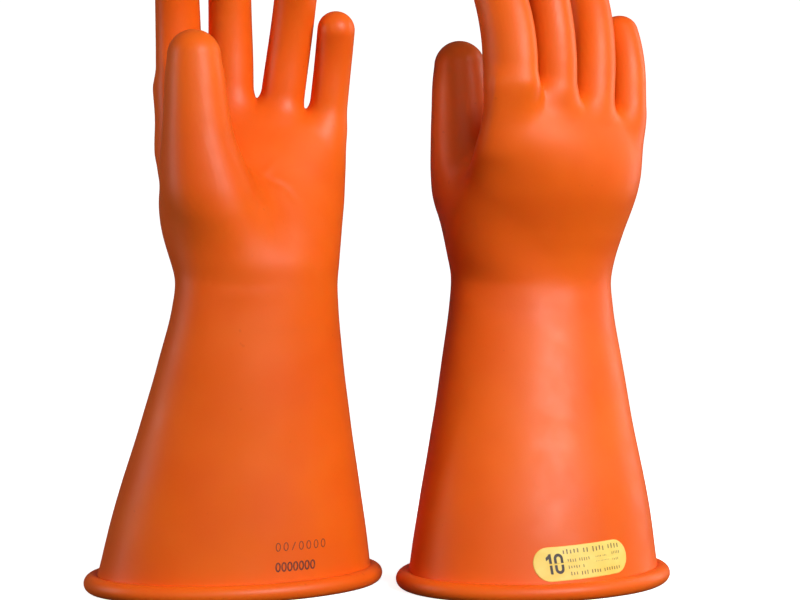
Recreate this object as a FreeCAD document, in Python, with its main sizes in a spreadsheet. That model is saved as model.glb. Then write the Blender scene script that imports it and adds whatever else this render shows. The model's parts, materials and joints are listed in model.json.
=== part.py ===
"""A pair of long-cuff dielectric rubber gloves, standing on their rolled cuff beads.

Each glove is one dipped film of rubber about 2.3 mm thick: an oval gauntlet that flares to
a rolled bead, a waisted wrist, a palm with the thumb standing in front of it, and five
finger stalls that curl towards the palm. The film is divided where it flexes. The gauntlet,
the hand and each stall keep their shape, and short flex sleeves between them bend. The hand
is three pieces that stay together: the palm, the ball of the thumb and the knuckles.

Row frame: millimetres, +Z up, origin on the floor at the middle of the pair's footprint.
The left glove stands at -X with its palm to the front (-Y), the right glove at +X with its
back to the front. A glove's own frame has x from the thumb side to the little-finger side,
y from the back of the hand to the palm, and z up from the floor close by the wrist's middle.
The left glove is the mirror image of the right one: its y runs the other way.
"""

import FreeCAD, Part
import math
import os
import Sketcher

V = FreeCAD.Vector
X_AXIS = V(1, 0, 0)
Y_AXIS = V(0, 1, 0)
Z_AXIS = V(0, 0, 1)

# Driving dimensions, in millimetres and degrees.
SIZES = {
    "wall": 2.3,
    "bead_radius": 5.75,
    "bead_flat": 0.4,  # how far the bead's foot is flattened
    "bead_outset": 2.6,  # bead centreline outside the cuff's outer face
    "finger_flex": 8,  # half the length of a finger's flex sleeve
    "thumb_flex": 9,
    "root_length": 30,  # how far a finger's root cone reaches down into the palm
    "root_radius": 7,
    "knuckle_slope": 8,  # how far the webs fall towards the little finger
    "knuckle_line": 285,  # height where the hand is divided into palm and knuckles
    "knuckle_face": 3,  # how far palmward the knuckles' side of that division reaches
    "ball_line": 41,  # how far palmward the thumb's ball is divided off, at the hand's foot
    "ball_lean": 28.4,  # how far that division leans to the back of the hand
    "label_length": 69,
    "label_width": 21,
    "label_thick": 0.5,
    "label_height": 25.3,  # of the label's middle above the floor
    "label_across": 15.4,  # of the label's middle from the cuff's axis, to the little-finger side
    "left_spread": 0.032,  # how much flatter the left cuff's oval is than the mean
    "right_spread": -0.028,
    "left_yaw": 0,
    "right_yaw": 41,
    "left_across": -79.2,
    "left_forward": -23.6,
    "right_across": 100.3,
    "right_forward": 26.4,
}

# The trunk's oval sections: height, long and short half-axes, centre across and palmward,
# and how far the long axis turns from the knuckle line towards the palm on the thumb side.
TRUNK = {
    "cuff_edge": (5.35, 88.2, 61.8, -15.8, -17.8, 19),
    "lower_cuff": (57, 79.2, 54.8, -12, -14, 19),
    "middle_cuff": (108, 68.4, 46.1, -7.2, -7.8, 20),
    "upper_cuff": (148, 60.8, 40, -3.4, -2.8, 21),
    "wrist_below": (181.5, 54.3, 35.2, -0.1, 1.2, 22.5),
    "wrist": (196.5, 52.8, 34, 0.7, 2.2, 23.5),
    "wrist_above": (211.5, 54.6, 34.8, 0.4, 0.6, 23),
    "heel": (228, 57, 35, -1, -5.5, 22),
    "midhand": (256, 60.5, 33.5, -3, -20, 17),
    "palm": (286, 62.8, 29, -5.5, -31.5, 9.5),
    "knuckles": (316, 62.3, 23.5, -6, -38, 6),
}
CUFF = ("cuff_edge", "lower_cuff", "middle_cuff", "upper_cuff", "wrist_below")
WRIST = ("wrist_below", "wrist", "wrist_above")
HAND = ("wrist_above", "heel", "midhand", "palm", "knuckles")

# The round sections of the thumb's root, which swells out of the heel of the hand:
# height, radius, centre across and palmward.
THUMB_ROOT = {
    "root_foot": (213, 28, -20, 12),
    "root_swell": (240, 31, -25.2, 20.3),
    "root_upper": (262, 28.5, -31, 25),
    "root_neck": (280, 23.5, -33.5, 27.5),
}

# Each stall's hinge point (across, palmward, height), how far it leans to the little-finger
# side and to the palm, radius at its root and tip, length past the sleeve, and its curl.
STALLS = {
    "thumb": (-35.3, 30.5, 298, 0, 2, 20.5, 16, 48.5, 3),
    "index_finger": (-52.8, -32.5, 333.5, 1, 5, 15.2, 14.2, 57.5, 21),
    "middle_finger": (-18.9, -37, 330, 0, 1, 15.4, 14.6, 74, 22),
    "ring_finger": (15.9, -38.5, 326, 8.3, 5, 14.5, 13.8, 68, 22),
    "little_finger": (45.4, -41.5, 319, 6.2, 7, 12.8, 12.2, 47.5, 20),
}
TRUNK_PARTS = ("height", "long", "short", "across", "palmward", "tilt")
ROOT_PARTS = ("height", "radius", "across", "palmward")
STALL_PARTS = ("across", "palmward", "height", "splay", "lean", "base", "tip", "length", "curl")

doc = FreeCAD.newDocument("insulating_gloves")
dims = doc.addObject("Spreadsheet::Sheet", "dims")


def fill_sheet():
    """Write every driving dimension into the sheet, one alias to a row."""
    named = dict(SIZES)
    for table, parts in ((TRUNK, TRUNK_PARTS), (THUMB_ROOT, ROOT_PARTS), (STALLS, STALL_PARTS)):
        for name, values in table.items():
            named.update({f"{name}_{part}": v for part, v in zip(parts, values)})
    for row, (alias, value) in enumerate(named.items(), start=1):
        dims.set(f"A{row}", alias)
        dims.set(f"B{row}", str(value))
        dims.setAlias(f"B{row}", alias)
    doc.recompute()


def size(alias):
    """The number in the sheet's cell."""
    return float(dims.get(alias))


class Glove:
    """One glove's side, its mirror sign and its placement in the row frame."""

    def __init__(self, side):
        self.side = side
        self.palm = 1 if side == "right" else -1
        self.place = FreeCAD.Placement(
            V(size(f"{side}_across"), size(f"{side}_forward"), 0),
            FreeCAD.Rotation(Z_AXIS, size(f"{side}_yaw")),
        )

    def at(self, across, palmward, height, turn=0):
        """A placement in the glove's frame, turned about the vertical."""
        local = FreeCAD.Placement(
            V(across, self.palm * palmward, height), FreeCAD.Rotation(Z_AXIS, -self.palm * turn)
        )
        return self.place * local

    def stall_frame(self, stall):
        """A stall's frame: origin on its hinge, z along the stall, y across the hinge."""
        across, palmward, height, splay, lean = (
            size(f"{stall}_{part}") for part in STALL_PARTS[:5]
        )
        spin = FreeCAD.Rotation(Y_AXIS, splay) * FreeCAD.Rotation(X_AXIS, -self.palm * lean)
        local = FreeCAD.Placement(V(across, self.palm * palmward, height), spin)
        return self.place * local


def labelled(kind, label):
    thing = doc.addObject(kind, label)
    thing.Label = label
    return thing


def oval(glove, section, label, inset="0"):
    """An ellipse of the trunk, drawn in by the inset."""
    ring = labelled("Part::Ellipse", label)
    spread = "0"
    if section in CUFF:
        spread = (
            f"dims.{glove.side}_spread * (1 - dims.{section}_height / dims.wrist_below_height)"
        )
    ring.setExpression("MajorRadius", f"dims.{section}_long * (1 + {spread}) - {inset}")
    ring.setExpression("MinorRadius", f"dims.{section}_short * (1 - {spread}) - {inset}")
    slope = size("knuckle_slope") if section == "knuckles" else 0
    ring.Placement = glove.at(
        size(f"{section}_across"),
        size(f"{section}_palmward"),
        size(f"{section}_height"),
        size(f"{section}_tilt"),
    ) * FreeCAD.Placement(V(), FreeCAD.Rotation(Y_AXIS, slope))
    return ring


def disc(glove, section, label, inset="0"):
    """A circle of the thumb's root, drawn in by the inset."""
    ring = labelled("Part::Circle", label)
    ring.setExpression("Radius", f"dims.{section}_radius - {inset}")
    ring.Placement = glove.at(
        size(f"{section}_across"), size(f"{section}_palmward"), size(f"{section}_height")
    )
    return ring


def loft(rings, label):
    solid = labelled("Part::Loft", label)
    solid.Sections = rings
    solid.Solid = True
    return solid


def cut(base, tool, label):
    solid = labelled("Part::Cut", label)
    solid.Base = base
    solid.Tool = tool
    return solid


def fuse(shapes, label):
    solid = labelled("Part::MultiFuse", label)
    solid.Shapes = shapes
    return solid


def trunk_loft(glove, sections, label, inset="0"):
    rings = [oval(glove, s, f"{label}_{s}", inset) for s in sections]
    return loft(rings, label)


def bead(glove):
    """The cuff's rolled edge: a round ring with a narrow flat foot to stand on."""
    label = f"{glove.side}_cuff_bead"
    spine = oval(glove, "cuff_edge", f"{label}_spine", "(-dims.bead_outset)")
    doc.recompute()
    section = labelled("Part::Circle", f"{label}_section")
    section.setExpression("Radius", "dims.bead_radius")
    start = spine.Placement.multVec(V(spine.MajorRadius.Value, 0, 0))
    across_spine = FreeCAD.Rotation(X_AXIS, 90)
    section.Placement = FreeCAD.Placement(start, spine.Placement.Rotation * across_spine)
    roll = labelled("Part::Sweep", f"{label}_roll")
    roll.Sections = [section]
    roll.Spine = (spine, ["Edge1"])
    roll.Solid = True
    roll.Frenet = True
    floor = labelled("Part::Box", f"{label}_floor")
    floor.setExpression("Length", "dims.cuff_edge_long * 4")
    floor.setExpression("Width", "dims.cuff_edge_long * 4")
    floor.setExpression("Height", "dims.bead_radius * 2")
    reach = 2 * size("cuff_edge_long")
    depth = 2 * size("bead_radius") + size("bead_radius") - size("bead_flat")
    floor.Placement = FreeCAD.Placement(
        spine.Placement.Base - V(reach, reach, depth), FreeCAD.Rotation()
    )
    return cut(roll, floor, label)


def gauntlet(glove, ring):
    """The flared cuff, a hollow oval cone whose lower edge runs into the bead."""
    label = f"{glove.side}_gauntlet"
    outer = trunk_loft(glove, CUFF, f"{label}_outer")
    inner = trunk_loft(glove, CUFF, f"{label}_inner", "dims.wall")
    tube = cut(outer, inner, f"{label}_tube")
    return cut(tube, ring, label)


def wrist_sleeve(glove):
    """The waist between cuff and hand, which bends."""
    label = f"{glove.side}_wrist_flex"
    outer = trunk_loft(glove, WRIST, f"{label}_outer")
    inner = trunk_loft(glove, WRIST, f"{label}_inner", "dims.wall")
    return cut(outer, inner, label)


def root_cone(glove, stall, label, inset="0"):
    """A finger's root, a cone that widens from inside the palm up to the flex sleeve."""
    cone = labelled("Part::Cone", label)
    cone.setExpression("Radius1", f"dims.root_radius - {inset}")
    cone.setExpression("Radius2", f"dims.{stall}_base - {inset}")
    cone.setExpression("Height", "dims.root_length")
    foot = V(0, 0, -size("root_length") - size("finger_flex"))
    cone.Placement = glove.stall_frame(stall) * FreeCAD.Placement(foot, FreeCAD.Rotation())
    return cone


def thumb_root(glove, label, inset="0"):
    """The ball of the thumb up to its flex sleeve."""
    rings = [disc(glove, s, f"{label}_{s}", inset) for s in THUMB_ROOT]
    top = labelled("Part::Circle", f"{label}_top")
    top.setExpression("Radius", f"dims.thumb_base - {inset}")
    foot = V(0, 0, -size("thumb_flex"))
    top.Placement = glove.stall_frame("thumb") * FreeCAD.Placement(foot, FreeCAD.Rotation())
    return loft(rings + [top], label)


def hand_film(glove):
    """The whole hand's hollow film, open at the wrist, the thumb and four fingers."""
    label = f"{glove.side}_hand"
    skins = []
    for face, inset in (("outer", "0"), ("inner", "dims.wall")):
        name = f"{label}_{face}"
        trunk = trunk_loft(glove, HAND, f"{name}_trunk", inset)
        if face == "inner":
            top = trunk.Sections[-1]
            top.Placement.Base.z -= size("wall")
        roots = [
            root_cone(glove, stall, f"{name}_{stall}_root", inset)
            for stall in STALLS
            if stall != "thumb"
        ]
        roots.append(thumb_root(glove, f"{name}_thumb_root", inset))
        skins.append(fuse([trunk] + roots, name))
    return cut(skins[0], skins[1], label)


def hand_block(glove, name, across, depth, foot, lean=0):
    """A box in front of or behind the plane through its foot, to divide the hand with."""
    reach = 2 * size("knuckles_long")
    block = labelled("Part::Box", f"{glove.side}_{name}_block")
    block.Length = 2 * reach
    block.Width = abs(depth)
    block.setExpression("Height", "dims.knuckles_long * 2")
    low = min(0, glove.palm * depth)
    tipped = FreeCAD.Placement(V(), FreeCAD.Rotation(X_AXIS, glove.palm * lean))
    corner = FreeCAD.Placement(V(-reach, low, 0), FreeCAD.Rotation())
    block.Placement = glove.at(0, across, foot) * tipped * corner
    return block


def common(base, tool, label):
    solid = labelled("Part::Common", label)
    solid.Base = base
    solid.Tool = tool
    return solid


def hand(glove):
    """The hand in three pieces: the palm, the ball of the thumb and the knuckles."""
    film = hand_film(glove)
    reach = 2 * size("knuckles_long")
    top = hand_block(glove, "knuckles", size("knuckle_face"), -reach, size("knuckle_line"))
    front = hand_block(
        glove, "thumb_ball", size("ball_line"), reach, size("wrist_above_height"), size("ball_lean")
    )
    below = cut(film, top, f"{glove.side}_below_knuckles")
    knuckles = common(film, top, f"{glove.side}_knuckles")
    thumb_ball = common(below, front, f"{glove.side}_thumb_ball")
    return [cut(below, front, f"{glove.side}_palm"), thumb_ball, knuckles]


def set_offset(thing, palm, y, z, angle):
    """Hang a sketch or primitive off its body's floor plane, tipped towards the palm."""
    thing.AttachmentOffset = FreeCAD.Placement(V(0, 1, 1), FreeCAD.Rotation(V(-palm, 0, 0), 1))
    thing.setExpression("AttachmentOffset.Base.y", f"{palm} * ({y})")
    thing.setExpression("AttachmentOffset.Base.z", z)
    thing.setExpression("AttachmentOffset.Rotation.Angle", angle)


def on_floor(body, thing):
    plane = next(f for f in body.Origin.OriginFeatures if f.Role == "XY_Plane")
    thing.AttachmentSupport = (plane, "")
    thing.MapMode = "FlatFace"


def round_sketch(body, name, radii):
    """A sketch of circles about its origin, one for each radius expression."""
    sketch = body.newObject("Sketcher::SketchObject", name)
    on_floor(body, sketch)
    for count, radius in enumerate(radii):
        sketch.addGeometry(Part.Circle(V(0, 0, 0), Z_AXIS, 5 + count), False)
        sketch.addConstraint(Sketcher.Constraint("Coincident", count, 3, -1, 1))
        row = sketch.addConstraint(Sketcher.Constraint("Radius", count, 5 + count))
        sketch.setExpression(f"Constraints[{row}]", radius)
    return sketch


def curl_station(stall, flex, share):
    """Expressions for a place along the stall's curled centreline: y, z and tilt."""
    run = f"(dims.{stall}_length - dims.{stall}_tip)"
    angle = f"(dims.{stall}_curl * {share})"
    bend = f"({run} * 180 / (pi * dims.{stall}_curl))"
    y = f"{bend} * (1 - cos({angle}))"
    z = f"dims.{flex} + {bend} * sin({angle})"
    return y, z, angle


def stall_skin(body, glove, stall, flex, kind, inset):
    """One face of a stall: a tapered loft along the curl and a round end."""
    name = f"{glove.side}_{stall}_{kind.lower()}"
    base, tip = f"dims.{stall}_base", f"dims.{stall}_tip"
    rings = []
    for count, share in enumerate((0, 0.5, 1)):
        radius = f"{base} * {1 - share} + {tip} * {share} - {inset}"
        ring = round_sketch(body, f"{name}_{count}", [radius])
        set_offset(ring, glove.palm, *curl_station(stall, flex, share))
        rings.append(ring)
    skin = body.newObject(f"PartDesign::{kind}Loft", f"{name}_loft")
    skin.Profile = rings[0]
    skin.Sections = rings[1:]
    end = body.newObject(f"PartDesign::{kind}Sphere", f"{name}_end")
    on_floor(body, end)
    end.setExpression("Radius", f"{tip} - {inset}")
    end.Angle1 = 0
    set_offset(end, glove.palm, *curl_station(stall, flex, 1))


def finger_stall(glove, stall, flex):
    """A hollow stall, closed at its tip and open at its root."""
    body = labelled("PartDesign::Body", f"{glove.side}_{stall}")
    stall_skin(body, glove, stall, flex, "Additive", "0")
    stall_skin(body, glove, stall, flex, "Subtractive", "dims.wall")
    doc.recompute()
    body.Placement = glove.stall_frame(stall)
    return body


def flex_sleeve(glove, stall, flex):
    """The short sleeve at a stall's root, which bends."""
    body = labelled("PartDesign::Body", f"{glove.side}_{stall}_flex")
    rim = [f"dims.{stall}_base", f"dims.{stall}_base - dims.wall"]
    ring = round_sketch(body, f"{glove.side}_{stall}_rim", rim)
    ring.setExpression("AttachmentOffset.Base.z", f"-dims.{flex}")
    pad = body.newObject("PartDesign::Pad", f"{glove.side}_{stall}_pad")
    pad.Profile = ring
    pad.setExpression("Length", f"2 * dims.{flex}")
    doc.recompute()
    body.Placement = glove.stall_frame(stall)
    return body


def label_blank(glove):
    """A flat round-ended block that stands upright through the back of the cuff."""
    body = labelled("PartDesign::Body", f"{glove.side}_label_blank")
    sketch = body.newObject("Sketcher::SketchObject", f"{glove.side}_label_outline")
    on_floor(body, sketch)
    radius = size("label_width") / 2
    half = size("label_length") / 2 - radius
    sketch.addGeometry(Part.LineSegment(V(-half, -radius, 0), V(half, -radius, 0)), False)
    sketch.addGeometry(
        Part.ArcOfCircle(Part.Circle(V(half, 0, 0), Z_AXIS, radius), -math.pi / 2, math.pi / 2),
        False,
    )
    sketch.addGeometry(Part.LineSegment(V(half, radius, 0), V(-half, radius, 0)), False)
    sketch.addGeometry(
        Part.ArcOfCircle(
            Part.Circle(V(-half, 0, 0), Z_AXIS, radius), math.pi / 2, 3 * math.pi / 2
        ),
        False,
    )
    for first, its_end, second, end in ((0, 2, 1, 1), (1, 2, 2, 1), (2, 2, 3, 1), (3, 2, 0, 1)):
        sketch.addConstraint(Sketcher.Constraint("Tangent", first, its_end, second, end))
    sketch.addConstraint(Sketcher.Constraint("Horizontal", 0))
    sketch.addConstraint(Sketcher.Constraint("Symmetric", 1, 3, 3, 3, -1, 1))
    width = sketch.addConstraint(Sketcher.Constraint("Radius", 1, radius))
    sketch.setExpression(f"Constraints[{width}]", "dims.label_width / 2")
    run = sketch.addConstraint(Sketcher.Constraint("DistanceX", 3, 3, 1, 3, 2 * half))
    sketch.setExpression(f"Constraints[{run}]", "dims.label_length - dims.label_width")
    pad = body.newObject("PartDesign::Pad", f"{glove.side}_label_block")
    pad.Profile = sketch
    pad.setExpression("Length", "dims.cuff_edge_short * 2")
    doc.recompute()
    upright = FreeCAD.Rotation(X_AXIS, 90 * glove.palm)
    body.Placement = glove.at(0, 0, 0, size("cuff_edge_tilt")) * FreeCAD.Placement(
        V(
            size("cuff_edge_across") + size("label_across"),
            glove.palm * size("cuff_edge_palmward"),
            size("label_height"),
        ),
        upright,
    )
    return body


def label(glove):
    """The size label, a thin plate moulded onto the back of the cuff."""
    name = f"{glove.side}_size_label"
    over = trunk_loft(glove, CUFF, f"{name}_over", "(-dims.label_thick)")
    under = trunk_loft(glove, CUFF, f"{name}_under")
    skin = cut(over, under, f"{name}_skin")
    blank = label_blank(glove)
    return common(skin, blank, name)


def flex_of(stall):
    return "thumb_flex" if stall == "thumb" else "finger_flex"


def make_glove(side):
    """Every sub-part of one glove."""
    glove = Glove(side)
    ring = bead(glove)
    parts = [ring, gauntlet(glove, ring), wrist_sleeve(glove), label(glove)]
    parts += hand(glove)
    for stall in STALLS:
        parts.append(flex_sleeve(glove, stall, flex_of(stall)))
        parts.append(finger_stall(glove, stall, flex_of(stall)))
    return parts


def check(parts):
    """Stop if any object failed or any sub-part isn't sound."""
    for thing in doc.Objects:
        if "Invalid" in thing.State or "Error" in thing.State:
            raise RuntimeError(f"{thing.Label} failed: {thing.State}")
    for part in parts:
        shape = part.Shape
        if shape.isNull() or not shape.isValid() or len(shape.Solids) != 1:
            raise RuntimeError(f"{part.Label} is not one sound solid")


def main():
    fill_sheet()
    parts = make_glove("left") + make_glove("right")
    doc.recompute()
    check(parts)
    os.makedirs("parts", exist_ok=True)
    for part in parts:
        part.Shape.exportStep(f"parts/{part.Label}.step")
        print(f"{part.Label}: {part.Shape.Volume / 1000:.1f} cm3")
    return parts


PARTS = main()
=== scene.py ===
"""Looks of a pair of long-cuff rubber insulating gloves, standing on their rolled beads.

One glove's film is shaped once as a smooth distance field in its own frame and meshed. The
mesh is then laid onto both gloves, the left one as the mirror image. A glove's own frame is in
millimetres: x from the thumb side to the little-finger side, y from the back of the hand to
the palm, z up from the floor close by the wrist's middle.
"""

import json
import math

import bpy
import numpy as np
import openvdb
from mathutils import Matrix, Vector


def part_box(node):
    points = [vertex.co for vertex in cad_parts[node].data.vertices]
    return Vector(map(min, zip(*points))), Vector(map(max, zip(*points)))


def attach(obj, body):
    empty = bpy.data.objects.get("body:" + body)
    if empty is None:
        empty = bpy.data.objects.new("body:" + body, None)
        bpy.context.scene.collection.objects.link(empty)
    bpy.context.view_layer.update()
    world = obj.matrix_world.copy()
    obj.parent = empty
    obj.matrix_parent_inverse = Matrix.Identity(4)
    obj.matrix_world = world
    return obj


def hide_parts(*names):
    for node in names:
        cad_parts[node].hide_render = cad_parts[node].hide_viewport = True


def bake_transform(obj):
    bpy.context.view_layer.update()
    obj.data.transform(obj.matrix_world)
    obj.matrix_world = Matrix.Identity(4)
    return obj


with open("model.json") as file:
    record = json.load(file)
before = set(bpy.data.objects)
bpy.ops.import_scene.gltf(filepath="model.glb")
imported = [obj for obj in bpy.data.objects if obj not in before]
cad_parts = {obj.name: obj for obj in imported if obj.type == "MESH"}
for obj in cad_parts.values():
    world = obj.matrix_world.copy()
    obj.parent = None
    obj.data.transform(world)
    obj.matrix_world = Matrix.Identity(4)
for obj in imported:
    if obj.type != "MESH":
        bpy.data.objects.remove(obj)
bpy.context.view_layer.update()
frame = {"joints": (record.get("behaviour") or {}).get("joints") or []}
JOINTS = {joint["name"]: joint for joint in frame["joints"]}
SIDES = ("left", "right")
FINGERS = ("thumb", "index_finger", "middle_finger", "ring_finger", "little_finger")

WALL = 2.3  # the film's thickness
VOXEL = 1.6  # size of the cells that the film's shape is meshed with
GRID_LOW = (-118, -98, -6)
GRID_HIGH = (94, 72, 418)
FAR = 20.0  # a distance that no blend reaches
VERY_FAR = 100.0

# The trunk's oval sections: height, long and short half-axes, centre across and palmward, and
# how far the long axis turns from the knuckle line towards the palm on the thumb side.
TRUNK = np.array(
    [
        (5.35, 88.2, 61.8, -15.8, -17.8, 19),
        (57, 79.2, 54.8, -12, -14, 20.5),
        (108, 68.5, 46.1, -7.2, -7.8, 23),
        (148, 61.3, 40, -3.4, -2.8, 25.5),
        (181.5, 55.6, 35.2, -0.1, 1.2, 27.5),
        (196.5, 54.4, 34, 0.7, 2.2, 28.5),
        (211.5, 56, 34.8, 0.4, 0.6, 28),
        (228, 58.3, 35, -1, -5.5, 26),
        (256, 61, 33.5, -3, -20, 20),
        (286, 62.3, 25.5, -5.5, -31.5, 10.5),
        (300, 61.5, 19, -5.8, -35.2, 7.5),
        (316, 60.5, 12, -6, -38, 6),
        (340, 59, 10, -6, -40, 6),
    ]
)
WRIST = np.array([0.7, 2.2, 0])  # the wrist's middle, over the floor
WRIST_TILT = math.radians(23.5)  # of the wrist's hinge, from the knuckle line
CUFF_TILT = math.radians(19)  # of the oval at the label's height
WAIST_Z = 181.5  # below this the two cuffs differ a little in how flat their ovals are
CUFF_SPREAD = {"left": 0.032, "right": -0.028}
KNUCKLE_X = -6  # the trunk's middle at the knuckles
KNUCKLE_Z = 314  # where the webs lie there
KNUCKLE_SLOPE = math.tan(math.radians(12))  # how steeply they fall to the little finger

# The thumb and its ball, as round sections: height, radius, centre across and palmward.
THUMB = np.array(
    [
        (196, 22, -10, 5),
        (213, 27, -18, 11.5),
        (226, 29.5, -21.5, 16.5),
        (240, 31, -24.7, 20.2),
        (251, 30.6, -27.5, 22.6),
        (268, 27.6, -30.8, 26),
        (290, 22.6, -33.8, 30.2),
        (310, 20, -35, 31.8),
        (328, 18.2, -35.6, 32.6),
        (336, 17, -35.7, 33),
        (338.5, 16.7, -35.7, 33),
    ]
)

# Each finger: lean to the little-finger side and to the palm, radius at its root and tip, length
# past its hinge, curl, and its oval: long over short axis and the long axis's turn. The thumb
# has only the two leans here.
STALLS = {
    "thumb": (0, 2),
    "index_finger": (1, 5, 13, 12.4, 65.5, 21, 1.36, -60),
    "middle_finger": (0, 1, 14.4, 13.9, 82, 22, 1.06, -70),
    "ring_finger": (8.3, 5, 14.1, 13.6, 76, 22, 1.05, -70),
    "little_finger": (6.2, 7, 12.3, 12, 55.5, 20, 1.06, -70),
}
FLEX = {name: 9 if name == "thumb" else 8 for name in FINGERS}  # from a hinge down to its cut
CURL_STEPS = 7  # straight lengths that a finger's curl is drawn with
ROOT_REACH = 52  # how far below its hinge a finger's root ends
ROOT_RADIUS = 4  # of the root at its end
STALL_SKIN = 3  # how far off a stall's own surface the film still belongs to the stall
ROOT_SINK = 0.7  # how far a finger's root turns in from its own line to the palm's middle

# How the stalls melt into the hand: which ones, the height where they start and the blend's size.
STALL_BLENDS = [(FINGERS[:1], 160, 18), (FINGERS[1:], 235, 11)]
KNUCKLE_BLEND = 10

# Pieces of one glove's film: 0 is the hand and 1 to 5 are the stalls.
HAND = 0
CUFF = 6
NOWHERE = -1

BEAD_RADIUS = 5.75
BEAD_Z = 5.35
BEAD_OUTSET = 1.7  # of the bead's centreline from the cuff's face
CUFF_TOP = 168  # the film is divided here into a cuff that stays still and a hand that bends

LABEL_LENGTH = 69
LABEL_WIDTH = 21
LABEL_THICK = 0.5
LABEL_SHIFT = (-1.9, -2.2)  # how far the label sits off its nominal place, across and up
LABEL_TURN = math.radians(2.2)
LABEL_EDGE = 0.65  # how wide its rounded edge is
LABEL_DEPTH = 0.3  # how deep its underside lies in the film
INK_THICK = 0.06
INK_DEPTH = 0.2  # how deep a stamp's underside lies in the film

# Stamped rows on the left cuff: name, height, middle across, half the width and height of a
# digit, stroke, pitch, and the marks.
STAMPS = [
    ("date", 33, 18.4, 1.35, 2.5, 0.5, 5.1, "00/0000"),
    ("number", 20.4, 14.6, 1.3, 2.6, 0.95, 3.85, "0000000"),
]

# Rows of small print on the label: first and last place, middle height, tallest tick, pitch,
# stroke, and how many ticks each word has.
PRINT_ROWS = [
    (-14, 29, 7.0, 3.6, 2.5, 0.9, (5, 2, 4, 10)),
    (-11.5, 6, 1.6, 2.5, 1.7, 0.65, (4, 5)),
    (9, 19, 2.0, 1.3, 1.15, 0.5, (4, 3)),
    (22, 28, 2.6, 2.2, 1.4, 0.55, (5,)),
    (-11.5, 1, -2.4, 2.4, 1.8, 0.65, (5, 1)),
    (9, 20, -0.6, 1.3, 1.15, 0.5, (9,)),
    (22, 27, -1.2, 2.0, 1.4, 0.5, (4,)),
    (-10.5, 27, -6.6, 2.8, 2.0, 0.75, (3, 3, 4, 8)),
]

ORANGE = (0.9, 0.135, 0.006)
DEEP_ORANGE = (0.84, 0.11, 0.005)
SPECK = (0.45, 0.04, 0.006)
YELLOW = (0.9, 0.6, 0.1)
PALE_YELLOW = (0.95, 0.7, 0.17)
BROWN_INK = (0.1, 0.05, 0.02)
BLACK_INK = (0.035, 0.02, 0.015)
DARK_INK = (0.12, 0.025, 0.012)
WORN_INK = (0.45, 0.06, 0.01)

# Studio, in metres, degrees and watts. A lamp has its name, place, aim, size and power.
CAMERA = (0.0123, -1.2986, 0.241)
CAMERA_DIP = 2.46
SKY_LIGHT = 0.12
GROUND_LIGHT = 0.02
STAGE_GLOW = 0.85
LAMPS = [
    ("key", (1.25, -1.45, 1.1), (0, 0, 0.22), (1.0, 0.9), 47),
    ("front", (-0.1, -2.2, 0.9), (0, 0, 0.22), (1.2, 0.8), 4.5),
    ("left_strip", (-1.4, -0.3, 0.35), (0, 0, 0.22), (0.3, 1.2), 7),
    ("right_strip", (1.25, 0.6, 0.5), (0, 0, 0.2), (0.25, 1.2), 6),
]

# Unevenness of the dipped film: lengths of its waves, and their rise for each unit of length.
WAVE_LENGTHS = (24, 31, 40, 52, 68, 90)
WAVE_RISE = 0.0014

# Creases in the palm, where the film folds between the thumb and the fingers: depth, width and
# the points they run through, across and up. Each one stays between two heights and on the
# little finger's side of a line.
CREASE_LOW, CREASE_HIGH, CREASE_SIDE = 215, 305, -30
CREASES = [
    (0.55, 2.2, [(-16, 292), (-8, 276), (1, 266)]),
    (-0.4, 2.4, [(-5, 271), (3, 264), (12, 275)]),
    (0.45, 2.2, [(-1, 268), (10, 262), (19, 258), (26, 248)]),
    (-0.35, 3.0, [(12, 266), (22, 256)]),
    (0.4, 2.0, [(2, 262), (3, 250), (5, 238)]),
    (0.3, 2.4, [(7, 258), (10, 246), (14, 231)]),
    (-0.3, 3.4, [(4, 258), (7, 244), (9, 232)]),
]


# ---------------------------------------------------------------- frames


class Glove:
    """One glove's side and its place in the row frame."""

    def __init__(self, side):
        self.side = side
        self.palm = 1 if side == "right" else -1
        wrist = JOINTS[f"{side}_wrist_bend"]
        long_axis = -self.palm * np.array(wrist["axis"])
        self.yaw = math.atan2(long_axis[1], long_axis[0]) + self.palm * WRIST_TILT
        self.origin = np.array([*wrist["pos_m"][:2], 0]) * 1000 - self.turn(WRIST)

    def name(self, part):
        return f"{self.side}_{part}"

    def turn(self, v):
        """A hand-frame vector in the row frame."""
        c, s = math.cos(self.yaw), math.sin(self.yaw)
        x, y, z = v[..., 0], v[..., 1] * self.palm, v[..., 2]
        return np.stack([c * x - s * y, s * x + c * y, z], -1)

    def to_row(self, p):
        """Hand-frame millimetres to row metres."""
        return (self.turn(np.asarray(p, float)) + self.origin) / 1000

    def to_hand(self, p):
        """Row metres to hand-frame millimetres."""
        c, s = math.cos(self.yaw), math.sin(self.yaw)
        d = np.asarray(p, float) * 1000 - self.origin
        x = c * d[..., 0] + s * d[..., 1]
        y = -s * d[..., 0] + c * d[..., 1]
        return np.stack([x, y * self.palm, d[..., 2]], -1)

    def spread(self, p):
        """Flattens or rounds the cuff's oval, more towards its mouth."""
        p = np.array(p, float)
        _, _, cx, cy, tilt = sections(p[:, 2])
        share = np.clip(1 - p[:, 2] / WAIST_Z, 0, 1) * CUFF_SPREAD[self.side]
        c, s = np.cos(tilt), np.sin(tilt)
        dx, dy = p[:, 0] - cx, p[:, 1] - cy
        long_side = (c * dx - s * dy) * (1 + share)
        short_side = (s * dx + c * dy) * (1 - share)
        p[:, 0] = cx + c * long_side + s * short_side
        p[:, 1] = cy - s * long_side + c * short_side
        return p


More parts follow.
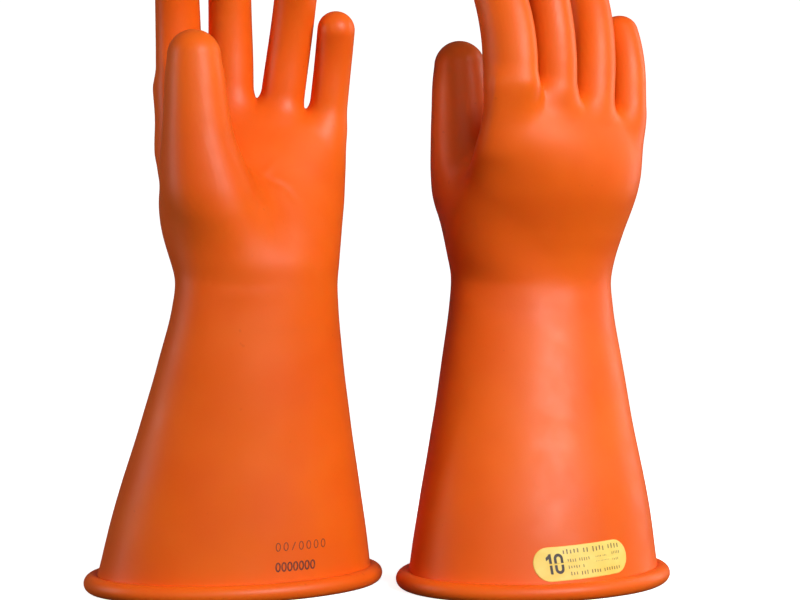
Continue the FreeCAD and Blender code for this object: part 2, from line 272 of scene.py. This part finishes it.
def stall_axes(name):
    """A stall's hinge point, its direction and its palmward side, in the hand frame."""
    splay, lean = (math.radians(a) for a in STALLS[name][:2])
    hinge = Glove("right").to_hand(JOINTS[f"right_{name}_bend"]["pos_m"])
    along = np.array(
        [math.cos(lean) * math.sin(splay), math.sin(lean), math.cos(lean) * math.cos(splay)]
    )
    palmward = np.array(
        [-math.sin(lean) * math.sin(splay), math.cos(lean), -math.sin(lean) * math.cos(splay)]
    )
    return hinge, along, palmward


# ---------------------------------------------------------------- distance field


def hermite(z, heights, values):
    """A smooth curve through the values, flat outside their range."""
    slopes = np.gradient(values, heights)
    z = np.clip(z, heights[0], heights[-1])
    i = np.clip(np.searchsorted(heights, z) - 1, 0, len(heights) - 2)
    run = heights[i + 1] - heights[i]
    t = (z - heights[i]) / run
    return (
        (1 + 2 * t) * (1 - t) ** 2 * values[i]
        + t * t * (3 - 2 * t) * values[i + 1]
        + t * (1 - t) ** 2 * run * slopes[i]
        - t * t * (1 - t) * run * slopes[i + 1]
    )


def sections(z):
    """The trunk's half-axes, centre and tilt at each height."""
    long_half, short_half, cx, cy, tilt = (hermite(z, TRUNK[:, 0], TRUNK[:, k]) for k in range(1, 6))
    return long_half, short_half, cx, cy, np.radians(tilt)


def trunk_distance(x, y, z):
    """Roughly how far a point is outside the cuff, wrist and palm, without the knuckle end."""
    long_half, short_half, cx, cy, tilt = sections(z)
    c, s = np.cos(tilt), np.sin(tilt)
    u = c * (x - cx) - s * (y - cy)
    v = s * (x - cx) + c * (y - cy)
    ring = np.hypot(u / long_half, v / short_half)
    steep = np.hypot(u / long_half**2, v / short_half**2)
    return ring * (ring - 1) / np.maximum(steep, 1e-6)


def smooth_min(a, b, k):
    """The lower of two distances, rounded over k where they are close."""
    near = np.maximum(k - np.abs(a - b), 0) / k
    return np.minimum(a, b) - near**2 * k / 4


def smooth_max(a, b, k):
    """The higher of two distances, rounded over k where they are close."""
    return -smooth_min(-a, -b, k)


def chain(name):
    """A finger's centreline from its root to its end, with a radius at each point."""
    _, _, base, tip, length, curl, _, _ = STALLS[name]
    hinge, along, palmward = stall_axes(name)
    flex = FLEX[name]
    points, radii = [hinge - along * flex], [base]
    run = length - flex - tip
    total = math.radians(curl)
    for i in range(CURL_STEPS + 1):
        share = i / CURL_STEPS
        angle = total * share
        bend = run / total
        ahead = flex + bend * math.sin(angle)
        aside = bend * (1 - math.cos(angle))
        points.append(hinge + along * ahead + palmward * aside)
        radii.append(base + (tip - base) * share)
    return np.array(points), np.array(radii)


def chain_distance(points, radii, x, y, z):
    """How far a point is outside a round rod with a bent centreline."""
    best = np.full(np.shape(x), VERY_FAR, np.float64)
    for a, b, ra, rb in zip(points[:-1], points[1:], radii[:-1], radii[1:]):
        d = b - a
        t = ((x - a[0]) * d[0] + (y - a[1]) * d[1] + (z - a[2]) * d[2]) / (d @ d)
        t = np.clip(t, 0, 1)
        dx, dy, dz = x - a[0] - t * d[0], y - a[1] - t * d[1], z - a[2] - t * d[2]
        gap = np.sqrt(dx**2 + dy**2 + dz**2)
        best = np.minimum(best, gap - (ra + (rb - ra) * t))
    return best


def root_distance(hinge, along, start, radius, x, y, z):
    """How far a point is outside a finger's root, which thins as it runs down into the palm."""
    run = (ROOT_REACH - start) * along[2]
    foot_z = hinge[2] - ROOT_REACH * along[2]
    share = np.clip((z - foot_z) / run, 0, 1)
    foot_x, foot_y = hinge[:2] - ROOT_REACH * along[:2]
    _, _, cx, cy, tilt = sections(foot_z)
    inward = (cy - (foot_x - cx) * math.tan(tilt) - foot_y) * ROOT_SINK
    rise = (np.maximum(z, foot_z) - hinge[2]) / along[2]
    dx = x - hinge[0] - along[0] * rise
    ease = share * share * (3 - 2 * share)
    dy = y - hinge[1] - along[1] * rise - inward * (1 - ease)
    ahead = dx * along[0] + dy * along[1]
    across = np.sqrt(np.maximum(dx * dx + dy * dy - ahead * ahead, 0))
    thick = ROOT_RADIUS + (radius - ROOT_RADIUS) * ease
    gap = np.hypot(across, np.minimum(z - foot_z, 0)) - thick
    return np.where(z < hinge[2], gap, VERY_FAR)


def thumb_distance(x, y, z):
    """How far a point is outside the thumb and its ball, which are round at every height."""
    radius, cx, cy = (hermite(z, THUMB[:, 0], THUMB[:, k]) for k in (1, 2, 3))
    beyond = z - np.clip(z, THUMB[0, 0], THUMB[-1, 0])
    return np.hypot(np.hypot(x - cx, y - cy), beyond) - radius


def stall_distance(name, x, y, z):
    """How far a point is outside a stall, its oval section squeezed to a round one."""
    if name == "thumb":
        return thumb_distance(x, y, z)
    points, radii = chain(name)
    hinge, _, _ = stall_axes(name)
    stretch, turn = STALLS[name][6:]
    m = np.array([math.cos(math.radians(turn)), math.sin(math.radians(turn))])

    def squeeze(px, py):
        cut = ((px - hinge[0]) * m[0] + (py - hinge[1]) * m[1]) * (1 - 1 / stretch)
        return px - cut * m[0], py - cut * m[1]

    px, py = squeeze(x, y)
    cx, cy = squeeze(points[:, 0], points[:, 1])
    centres = np.stack([cx, cy, points[:, 2]], 1)
    straight = centres[1] - centres[0]
    straight = straight / np.linalg.norm(straight)
    rod = chain_distance(centres, radii, px, py, z)
    root = root_distance(hinge, straight, FLEX[name], radii[0], px, py, z)
    return np.minimum(rod, root)


def film_distance(p):
    """How far each point is outside the glove."""
    x, y, z = p[:, 0], p[:, 1], p[:, 2]
    top = (z - KNUCKLE_Z) + (x - KNUCKLE_X) * KNUCKLE_SLOPE
    d = smooth_max(trunk_distance(x, y, z), top, KNUCKLE_BLEND)
    for names, lowest, blend in STALL_BLENDS:
        near = z > lowest
        part = np.full(len(z), VERY_FAR)
        for name in names:
            part[near] = np.minimum(part[near], stall_distance(name, x[near], y[near], z[near]))
        d = smooth_min(d, part, blend)
    return d


def film_slope(p, step=0.4):
    """The field's gradient at each point."""
    slope = np.empty_like(p)
    for axis in range(3):
        shift = np.zeros(3)
        shift[axis] = step
        slope[:, axis] = (film_distance(p + shift) - film_distance(p - shift)) / (2 * step)
    return slope


def settle(p, rounds=3):
    """Moves points onto the glove's surface."""
    for _ in range(rounds):
        slope = film_slope(p)
        size = np.maximum((slope**2).sum(1), 0.05)
        p = p - slope * (film_distance(p) / size)[:, None]
    return p


def waves(p):
    """Slow unevenness of a dipped film, in millimetres."""
    rng = np.random.default_rng(7)
    rise = np.zeros(len(p))
    for length in WAVE_LENGTHS:
        way = rng.normal(size=3)
        way *= 2 * math.pi / (length * np.linalg.norm(way))
        rise += length * WAVE_RISE * np.sin(p @ way + rng.uniform(0, 2 * math.pi))
    return rise


def creases(p, normals):
    """Folds in the palm, as a rise along the normal."""
    rise = np.zeros(len(p))
    facing = np.clip(normals[:, 1] * 1.6 - 0.3, 0, 1)
    across, height = p[:, 0], p[:, 2]
    near = (facing > 0) & (height > CREASE_LOW) & (height < CREASE_HIGH) & (across > CREASE_SIDE)
    spot = p[near][:, [0, 2]]
    for depth, width, path in CREASES:
        path = np.array(path, float)
        gap = np.full(len(spot), FAR)
        along = np.zeros(len(spot))
        for i, (a, b) in enumerate(zip(path[:-1], path[1:])):
            t = np.clip(((spot - a) @ (b - a)) / ((b - a) @ (b - a)), 0, 1)
            d = np.linalg.norm(spot - a - t[:, None] * (b - a), axis=1)
            closer = d < gap
            gap[closer] = d[closer]
            along[closer] = (i + t[closer]) / (len(path) - 1)
        fade = np.clip(4 * along * (1 - along) + 0.15, 0, 1)
        rise[near] -= depth * fade * np.exp(-((gap / width) ** 2))
    return rise * facing


# ---------------------------------------------------------------- one glove's film


def mesh_field():
    """The glove's outer surface as points and quads."""
    axes = [np.arange(lo, hi, VOXEL) for lo, hi in zip(GRID_LOW, GRID_HIGH)]
    cells = np.stack(np.meshgrid(*axes, indexing="ij"), -1)
    field = film_distance(cells.reshape(-1, 3)).reshape(cells.shape[:3])
    grid = openvdb.FloatGrid(FAR)
    grid.copyFromArray(np.clip(field, -FAR, FAR).astype(np.float32))
    grid.transform = openvdb.createLinearTransform(voxelSize=VOXEL)
    points, quads = grid.convertToQuads(isovalue=0)
    return settle(points.astype(float) + np.array(GRID_LOW)), quads.astype(int)


def split_faces(points, quads):
    """Which piece each quad belongs to: a stall's number, the hand, the cuff or none."""
    centre = points[quads].mean(1)
    owner = np.full(len(quads), HAND)
    owner[centre[:, 2] < CUFF_TOP] = CUFF
    owner[centre[:, 2] < BEAD_Z] = NOWHERE
    reach = np.stack([stall_distance(n, *centre.T) for n in FINGERS], 1)
    nearest = reach.argmin(1)
    for i, name in enumerate(FINGERS):
        hinge, along, _ = stall_axes(name)
        above = (centre - hinge) @ along > -FLEX[name]
        owner[(nearest == i) & above & (reach[:, i] < STALL_SKIN)] = i + 1
    return owner


def straighten_rims(points, quads, owner):
    """Draws each piece's ragged edge onto its plane."""
    for i, name in enumerate(FINGERS):
        hinge, along, _ = stall_axes(name)
        rim = np.intersect1d(quads[owner == i + 1], quads[owner == HAND])
        for _ in range(4):
            off = (points[rim] - hinge) @ along + FLEX[name]
            points[rim] = settle(points[rim] - off[:, None] * along, 1)
    for height, above, below in ((BEAD_Z, CUFF, NOWHERE), (CUFF_TOP, HAND, CUFF)):
        rim = np.intersect1d(quads[owner == above], quads[owner == below])
        for _ in range(4):
            points[rim, 2] = height
            points[rim] = settle(points[rim], 1)
        points[rim, 2] = height
    return points


def point_normals(points, quads):
    """Smooth outward normals."""
    corner = points[quads]
    across = np.cross(corner[:, 2] - corner[:, 0], corner[:, 3] - corner[:, 1])
    normals = np.zeros_like(points)
    for k in range(4):
        np.add.at(normals, quads[:, k], across)
    normals /= np.maximum(np.linalg.norm(normals, axis=1), 1e-9)[:, None]
    outward = (normals * film_slope(points)).sum(1)
    return normals if np.median(outward) > 0 else -normals


def shell(points, normals, quads):
    """A closed film: outer face, inner face and the rims between them."""
    used, local = np.unique(quads, return_inverse=True)
    outer = local.reshape(quads.shape)
    count = len(used)
    edges = np.concatenate([outer[:, [k, (k + 1) % 4]] for k in range(4)])
    key = np.sort(edges, 1)
    key = key[:, 0] * count + key[:, 1]
    _, first, times = np.unique(key, return_index=True, return_counts=True)
    rim = edges[first[times == 1]]
    inner = outer[:, ::-1] + count
    wall = np.stack([rim[:, 1], rim[:, 0], rim[:, 0] + count, rim[:, 1] + count], 1)
    film = np.concatenate([points[used], points[used] - WALL * normals[used]])
    lean = np.concatenate([normals[used], -normals[used]])
    return film, lean, np.concatenate([outer, inner, wall])


# ---------------------------------------------------------------- Blender helpers


def new_object(name, points, faces, material, smooth=True):
    """A mesh object from row-frame points in metres."""
    mesh = bpy.data.meshes.new(name)
    mesh.from_pydata([tuple(p) for p in points], [], [tuple(f) for f in faces])
    mesh.materials.append(material)
    if smooth:
        mesh.shade_smooth()
    mesh.validate()
    thing = bpy.data.objects.new(name, mesh)
    bpy.context.scene.collection.objects.link(thing)
    return thing


def film_object(glove, name, data, material):
    """A closed piece of film laid onto one glove, with the uncut film's normals."""
    points, lean, faces = data
    if glove.palm < 0:
        faces = faces[:, ::-1]
    thing = new_object(name, glove.to_row(glove.spread(points)), faces, material)
    thing.data.normals_split_custom_set_from_vertices([tuple(n) for n in glove.turn(lean)])
    return thing


# ---------------------------------------------------------------- materials


def plain_material(name, colour, roughness):
    material = bpy.data.materials.new(name)
    material.use_nodes = True
    shader = material.node_tree.nodes["Principled BSDF"]
    shader.inputs["Base Color"].default_value = (*colour, 1)
    shader.inputs["Roughness"].default_value = roughness
    return material


class Nodes:
    """Adds and joins nodes in one material."""

    def __init__(self, material):
        self.tree = material.node_tree
        self.shader = self.tree.nodes["Principled BSDF"]

    def add(self, kind, **values):
        node = self.tree.nodes.new(f"ShaderNode{kind}")
        for key, value in values.items():
            if hasattr(node, key):
                setattr(node, key, value)
            else:
                node.inputs[key.replace("_", " ").title()].default_value = value
        return node

    def join(self, source, target):
        self.tree.links.new(source, target)

    def noise(self, place, scale, detail=2.0):
        """A noise pattern's value, its scale in patterns a metre."""
        node = self.add("TexNoise", scale=scale, detail=detail)
        self.join(place, node.inputs["Vector"])
        return node.outputs["Fac"]

    def spread(self, source, low, high, to_low, to_high):
        """The source's range carried to another range."""
        node = self.add("MapRange")
        ends = {"From Min": low, "From Max": high, "To Min": to_low, "To Max": to_high}
        for key, value in ends.items():
            node.inputs[key].default_value = value
        self.join(source, node.inputs["Value"])
        return node.outputs["Result"]

    def mix(self, factor, first, second):
        """Two colours mixed by a factor; each is a colour or a socket."""
        node = self.add("Mix", data_type="RGBA")
        self.join(factor, node.inputs["Factor"])
        for key, colour in (("A", first), ("B", second)):
            socket = next(i for i in node.inputs if i.name == key and i.type == "RGBA")
            if isinstance(colour, tuple):
                socket.default_value = (*colour, 1)
            else:
                self.join(colour, socket)
        return next(o for o in node.outputs if o.type == "RGBA")


def rubber_material():
    """Satin orange rubber: slow colour drift, small specks and a fine skin."""
    material = plain_material("orange_rubber", ORANGE, 0.4)
    nodes = Nodes(material)
    place = nodes.add("TexCoord").outputs["Object"]
    drift = nodes.spread(nodes.noise(place, 14), 0.35, 0.65, 0, 1)
    colour = nodes.mix(drift, ORANGE, DEEP_ORANGE)
    speck = nodes.spread(nodes.noise(place, 260, 0.0), 0.86, 0.9, 0, 0.16)
    colour = nodes.mix(speck, colour, SPECK)
    nodes.join(colour, nodes.shader.inputs["Base Color"])
    rough = nodes.spread(nodes.noise(place, 60, 4.0), 0.3, 0.7, 0.4, 0.5)
    nodes.join(rough, nodes.shader.inputs["Roughness"])
    bump = nodes.add("Bump")
    bump.inputs["Strength"].default_value = 0.12
    bump.inputs["Distance"].default_value = 0.0004
    nodes.join(nodes.noise(place, 900, 3.0), bump.inputs["Height"])
    nodes.join(bump.outputs["Normal"], nodes.shader.inputs["Normal"])
    nodes.shader.inputs["Specular IOR Level"].default_value = 0.3
    nodes.shader.inputs["Subsurface Weight"].default_value = 0.12
    nodes.shader.inputs["Subsurface Radius"].default_value = (1.0, 0.25, 0.05)
    nodes.shader.inputs["Subsurface Scale"].default_value = 0.003
    return material


def label_material():
    """Yellow label with its size number and small print."""
    material = plain_material("label_yellow", YELLOW, 0.5)
    nodes = Nodes(material)
    place = nodes.add("TexCoord").outputs["Object"]
    drift = nodes.spread(nodes.noise(place, 90, 3.0), 0.3, 0.7, 0, 1)
    colour = nodes.mix(drift, YELLOW, PALE_YELLOW)
    wear = nodes.spread(nodes.noise(place, 900, 3.0), 0.35, 0.75, 1, 0.65)
    for name, ink in (("small_print", BROWN_INK), ("size_number", BLACK_INK)):
        mark = nodes.add("Attribute", attribute_name=name)
        inside = nodes.spread(mark.outputs["Fac"], -0.1, 0.1, 1, 0)
        if name == "small_print":
            worn = nodes.add("Math", operation="MULTIPLY")
            nodes.join(inside, worn.inputs[0])
            nodes.join(wear, worn.inputs[1])
            inside = worn.outputs[0]
        colour = nodes.mix(inside, colour, ink)
    nodes.join(colour, nodes.shader.inputs["Base Color"])
    rough = nodes.spread(nodes.noise(place, 300, 3.0), 0.3, 0.7, 0.42, 0.6)
    nodes.join(rough, nodes.shader.inputs["Roughness"])
    return material


def ink_material():
    """Dark stamping ink, thin in places."""
    material = plain_material("stamp_ink", DARK_INK, 0.55)
    nodes = Nodes(material)
    place = nodes.add("TexCoord").outputs["Object"]
    thin = nodes.spread(nodes.noise(place, 700, 3.0), 0.45, 0.75, 0, 0.7)
    nodes.join(nodes.mix(thin, DARK_INK, WORN_INK), nodes.shader.inputs["Base Color"])
    return material


# ---------------------------------------------------------------- build


def shape_film():
    """One glove's film as closed pieces: the hand, the five stalls and the cuff."""
    points, quads = mesh_field()
    owner = split_faces(points, quads)
    points = straighten_rims(points, quads, owner)
    normals = point_normals(points, quads)
    corner = points[quads]
    across = np.cross(corner[:, 2] - corner[:, 0], corner[:, 3] - corner[:, 1])
    if np.median((across * normals[quads[:, 0]]).sum(1)) < 0:
        quads = quads[:, ::-1]
    rise = waves(points) + creases(points, normals)
    points = points + rise[:, None] * normals
    normals = point_normals(points, quads)
    return [shell(points, normals, quads[owner == i]) for i in range(CUFF + 1)]


def build_films(rubber):
    """The films of both gloves."""
    shells = shape_film()
    for side in SIDES:
        glove = Glove(side)
        cuff = film_object(glove, glove.name("cuff_film"), shells[CUFF], rubber)
        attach(cuff, glove.name("cuff"))
        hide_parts(glove.name("gauntlet"))
        hand = film_object(glove, glove.name("hand_film"), shells[HAND], rubber)
        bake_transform(hand)
        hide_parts(*(glove.name(n) for n in ("wrist_flex", "palm", "thumb_ball", "knuckles")))
        for i, name in enumerate(FINGERS):
            piece = film_object(glove, glove.name(f"{name}_film"), shells[i + 1], rubber)
            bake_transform(piece)
            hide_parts(glove.name(name), glove.name(f"{name}_flex"))


def build_bead(glove, rubber):
    """The rolled edge: a round ring with a narrow flat foot."""
    around, section = 300, 40
    _, long_half, short_half, cx, cy, tilt = TRUNK[0]
    share = (1 - BEAD_Z / WAIST_Z) * CUFF_SPREAD[glove.side]
    long_half = long_half * (1 + share) + BEAD_OUTSET
    short_half = short_half * (1 - share) + BEAD_OUTSET
    t = np.linspace(0, 2 * math.pi, around, endpoint=False)[:, None]
    a = np.linspace(0, 2 * math.pi, section, endpoint=False)[None, :]
    steep = np.hypot(np.cos(t) / long_half, np.sin(t) / short_half)
    radius = BEAD_RADIUS * (1 + 0.006 * np.sin(5 * t + 1) + 0.005 * np.sin(11 * t))
    u = long_half * np.cos(t) + radius * np.cos(a) * np.cos(t) / long_half / steep
    v = short_half * np.sin(t) + radius * np.cos(a) * np.sin(t) / short_half / steep
    c, s = math.cos(math.radians(tilt)), math.sin(math.radians(tilt))
    z = np.maximum(BEAD_Z + radius * np.sin(a), 0)
    ring = np.stack([cx + c * u + s * v, cy - s * u + c * v, z], -1).reshape(-1, 3)
    i, j = np.meshgrid(np.arange(around), np.arange(section), indexing="ij")
    i, j = i.ravel(), j.ravel()
    ahead, over = (i + 1) % around, (j + 1) % section
    corners = ((i, j), (ahead, j), (ahead, over), (i, over))
    faces = np.stack([ring_at * section + turn_at for ring_at, turn_at in corners], 1)
    if glove.palm < 0:
        faces = faces[:, ::-1]
    bead = new_object(glove.name("bead"), glove.to_row(ring), faces, rubber)
    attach(bead, glove.name("cuff"))
    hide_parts(glove.name("cuff_bead"))


# ---------------------------------------------------------------- print on the cuffs


def on_cuff(glove, across, height, face, lift):
    """Points on the cuff: across its long axis from the glove's middle, 1 palm side or -1 back."""
    long_half, short_half, cx, cy, tilt = sections(height)
    c, s = np.cos(tilt), np.sin(tilt)
    u = across - (c * cx - s * cy)
    v = face * short_half * np.sqrt(1 - (u / long_half) ** 2)
    steep = np.hypot(u / long_half**2, v / short_half**2)
    lift = lift + waves(np.stack([cx + c * u + s * v, cy - s * u + c * v, height], -1))
    u = u + lift * u / long_half**2 / steep
    v = v + lift * v / short_half**2 / steep
    points = np.stack([cx + c * u + s * v, cy - s * u + c * v, height], -1)
    return glove.to_row(glove.spread(points))


def ring_distance(x, z, half_width, half_height, stroke):
    """How far a point is outside a drawn zero, negative inside its stroke."""
    straight = half_height - half_width
    reach = np.hypot(x, z - np.clip(z, -straight, straight))
    return np.abs(reach - half_width + stroke / 2) - stroke / 2


def bar_distance(x, z, low, high):
    """How far a point is outside an upright box."""
    mid = [(a + b) / 2 for a, b in zip(low, high)]
    half = [(b - a) / 2 for a, b in zip(low, high)]
    dx, dz = np.abs(x - mid[0]) - half[0], np.abs(z - mid[1]) - half[1]
    return np.hypot(np.maximum(dx, 0), np.maximum(dz, 0)) + np.minimum(np.maximum(dx, dz), 0)


def size_number(x, z):
    """The label's 10."""
    one = bar_distance(x, z, (-24.1, -5.9), (-22.3, 6.4))
    slope = 0.75
    flag = bar_distance(x, z - (x + 23.6) * slope - 5.0, (-26.0, -1.1), (-22.6, 1.1))
    zero = ring_distance(x + 17.6, z - 0.2, 3.1, 6.2, 1.8)
    return np.minimum(np.minimum(one, flag), zero)


def small_print(x, z):
    """Rows of plain ticks where a label has its small print."""
    rng = np.random.default_rng(3)
    nearest = np.full(np.shape(x), FAR)
    for start, end, middle, tall, pitch, stroke, words in PRINT_ROWS:
        place = start
        for letters in words:
            for _ in range(letters):
                if place < end:
                    top = middle + tall / 2 * rng.uniform(0.55, 1)
                    foot = middle - tall / 2 * rng.uniform(0.55, 1)
                    tick = bar_distance(x, z, (place, foot), (place + stroke, top))
                    nearest = np.minimum(nearest, tick)
                place += pitch
            place += pitch * 0.8
    return nearest


def build_label(glove, yellow):
    """The round-ended size label on the back of the cuff."""
    low, high = (glove.to_hand(corner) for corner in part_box(glove.name("size_label")))
    middle = (low + high) / 2
    across = math.cos(CUFF_TILT) * middle[0] - math.sin(CUFF_TILT) * middle[1]
    across += LABEL_SHIFT[0]
    height = middle[2] + LABEL_SHIFT[1]
    c, s = math.cos(LABEL_TURN), math.sin(LABEL_TURN)
    radius, half = LABEL_WIDTH / 2, (LABEL_LENGTH - LABEL_WIDTH) / 2
    bend, straight = 44, 120
    turn = np.linspace(-math.pi / 2, math.pi / 2, bend)
    run = np.linspace(half, -half, straight)[1:-1]
    outline = [(half, 0, math.cos(a), math.sin(a)) for a in turn]
    outline += [(x, 0, 0, 1) for x in run]
    outline += [(-half, 0, -math.cos(a), -math.sin(a)) for a in turn]
    outline += [(x, 0, 0, -1) for x in -run]
    outline = np.array(outline)
    count = len(outline)
    inset = np.concatenate([[0, 0.04, 0.12, 0.25, 0.42, 0.65], np.arange(1, radius - 0.2, 0.45)])
    rings = [(0, -LABEL_DEPTH)]
    rings += [(d, LABEL_THICK * math.sqrt(1 - (1 - min(d / LABEL_EDGE, 1)) ** 2)) for d in inset]
    points, spots = [], []
    for d, lift in rings:
        x = outline[:, 0] + outline[:, 2] * (radius - d)
        z = outline[:, 1] + outline[:, 3] * (radius - d)
        turned_x, turned_z = x * c - z * s, z * c + x * s
        points.append(on_cuff(glove, across + turned_x, height + turned_z, -1, lift))
        spots.append(np.stack([x, z], 1))
    faces = []
    for k in range(len(rings) - 1):
        for i in range(count):
            j = (i + 1) % count
            faces.append((k * count + i, k * count + j, (k + 1) * count + j, (k + 1) * count + i))
    for base, flip in ((0, True), ((len(rings) - 1) * count, False)):
        for i in range(count // 2 - 1):
            quad = (base + i, base + i + 1, base + count - 2 - i, base + count - 1 - i)
            faces.append(quad[::-1] if flip else quad)
    if glove.palm > 0:
        faces = [f[::-1] for f in faces]
    plate = new_object(glove.name("label_plate"), np.concatenate(points), faces, yellow)
    spots = np.concatenate(spots)
    for name, shape in (("size_number", size_number), ("small_print", small_print)):
        ink = plate.data.attributes.new(name, "FLOAT", "POINT")
        # The back of the hand is seen with the thumb on its left, on the right glove only.
        ink.data.foreach_set("value", shape(spots[:, 0] * glove.palm, spots[:, 1]).astype(np.float32))
    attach(plate, glove.name("cuff"))
    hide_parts(glove.name("size_label"))


def glyph(glove, path, width, across, height, closed):
    """A thin closed stroke of ink along a path on the cuff's palm side."""
    path = np.array(path, float)
    count = len(path)
    ahead = np.roll(path, -1, 0) - np.roll(path, 1, 0)
    if not closed:
        ahead[0], ahead[-1] = path[1] - path[0], path[-1] - path[-2]
    ahead /= np.linalg.norm(ahead, axis=1)[:, None]
    aside = np.stack([-ahead[:, 1], ahead[:, 0]], 1) * width / 2
    edges = []
    outline = [(aside, -INK_DEPTH), (aside, INK_THICK), (-aside, INK_THICK), (-aside, -INK_DEPTH)]
    for offset, lift in outline:
        x, z = (path + offset).T
        edges.append(on_cuff(glove, across + x, height + z, 1, lift))
    faces = []
    for i in range(count if closed else count - 1):
        j = (i + 1) % count
        for k in range(4):
            m = (k + 1) % 4
            faces.append((k * count + i, k * count + j, m * count + j, m * count + i))
    if not closed:
        faces.append(tuple(k * count for k in range(4)))
        faces.append(tuple(k * count + count - 1 for k in reversed(range(4))))
    return np.concatenate(edges), faces


def build_stamps(glove, ink):
    """Two rows of generic stamped digits on the palm side of the cuff."""
    for name, height, middle, half_width, half_height, stroke, pitch, marks in STAMPS:
        points, faces = [], []
        total = 0
        start = middle - pitch * 3
        for k, mark in enumerate(marks):
            across = start + pitch * k
            if mark == "/":
                path = [(-half_width * 0.8, -half_height), (0, 0), (half_width * 0.8, half_height)]
            else:
                t = np.linspace(0, 2 * math.pi, 28, endpoint=False)
                path = np.stack([half_width * np.cos(t), half_height * np.sin(t)], 1)
            corners, sides = glyph(glove, path, stroke, across, height, mark != "/")
            points.append(corners)
            faces += [tuple(c + total for c in f) for f in sides]
            total += len(corners)
        stamp = new_object(glove.name(f"{name}_stamp"), np.concatenate(points), faces, ink, False)
        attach(stamp, glove.name("cuff"))


def light(name, place, aim, size, power):
    """A soft rectangular lamp that faces its aim."""
    data = bpy.data.lights.new(name, "AREA")
    data.shape = "RECTANGLE"
    data.size, data.size_y = size
    data.energy = power
    lamp = bpy.data.objects.new(name, data)
    lamp.location = place
    lamp.rotation_euler = (Vector(aim) - Vector(place)).to_track_quat("-Z", "Y").to_euler()
    bpy.context.scene.collection.objects.link(lamp)


def backdrop(pale):
    """A floor that curves up into a back wall."""
    half, front, bend, top, radius = 6.0, -6.0, 1.6, 6.0, 1.5
    profile = [(front, 0.0)]
    steps = 24
    for i in range(steps + 1):
        a = math.pi / 2 * i / steps
        profile.append((bend + radius * math.sin(a), radius * (1 - math.cos(a))))
    profile.append((bend + radius, top))
    points = [(x, y, z) for y, z in profile for x in (-half, half)]
    faces = [(2 * i, 2 * i + 1, 2 * i + 3, 2 * i + 2) for i in range(len(profile) - 1)]
    return new_object("backdrop", points, faces, pale)


def studio_world():
    """Dim light all around, brighter from above."""
    world = bpy.data.worlds.new("studio")
    world.use_nodes = True
    tree = world.node_tree
    place = tree.nodes.new("ShaderNodeTexCoord")
    parts = tree.nodes.new("ShaderNodeSeparateXYZ")
    lift = tree.nodes.new("ShaderNodeMapRange")
    ends = {"From Min": -1, "From Max": 1, "To Min": GROUND_LIGHT, "To Max": SKY_LIGHT}
    for key, value in ends.items():
        lift.inputs[key].default_value = value
    tree.links.new(place.outputs["Generated"], parts.inputs["Vector"])
    tree.links.new(parts.outputs["Z"], lift.inputs["Value"])
    tree.links.new(lift.outputs["Result"], tree.nodes["Background"].inputs["Strength"])
    tree.nodes["Background"].inputs["Color"].default_value = (1, 1, 1, 1)
    return world


def stage_and_camera():
    """A pale floor that curves up behind the gloves, soft lights and the camera."""
    pale = plain_material("pale_stage", (0.9, 0.9, 0.9), 0.9)
    shader = pale.node_tree.nodes["Principled BSDF"]
    shader.inputs["Specular IOR Level"].default_value = 0
    shader.inputs["Emission Color"].default_value = (1, 1, 1, 1)
    shader.inputs["Emission Strength"].default_value = STAGE_GLOW
    stage = backdrop(pale)
    # Its glow would wash out the gloves' shaded undersides and edges.
    stage.visible_diffuse = False
    stage.visible_glossy = False
    bpy.context.scene.world = studio_world()
    for name, place, aim, size, power in LAMPS:
        light(name, place, aim, size, power)
    data = bpy.data.cameras.new("camera")
    data.lens = 90
    data.sensor_width = 36
    camera = bpy.data.objects.new("camera", data)
    camera.location = CAMERA
    camera.rotation_euler = (math.radians(90 - CAMERA_DIP), 0, 0)
    bpy.context.scene.collection.objects.link(camera)
    bpy.context.scene.camera = camera
    bpy.context.scene.view_settings.view_transform = "Standard"


RUBBER = rubber_material()
YELLOW_LABEL = label_material()
build_films(RUBBER)
for hand_side in SIDES:
    hand_glove = Glove(hand_side)
    build_bead(hand_glove, RUBBER)
    build_label(hand_glove, YELLOW_LABEL)
build_stamps(Glove("left"), ink_material())
stage_and_camera()
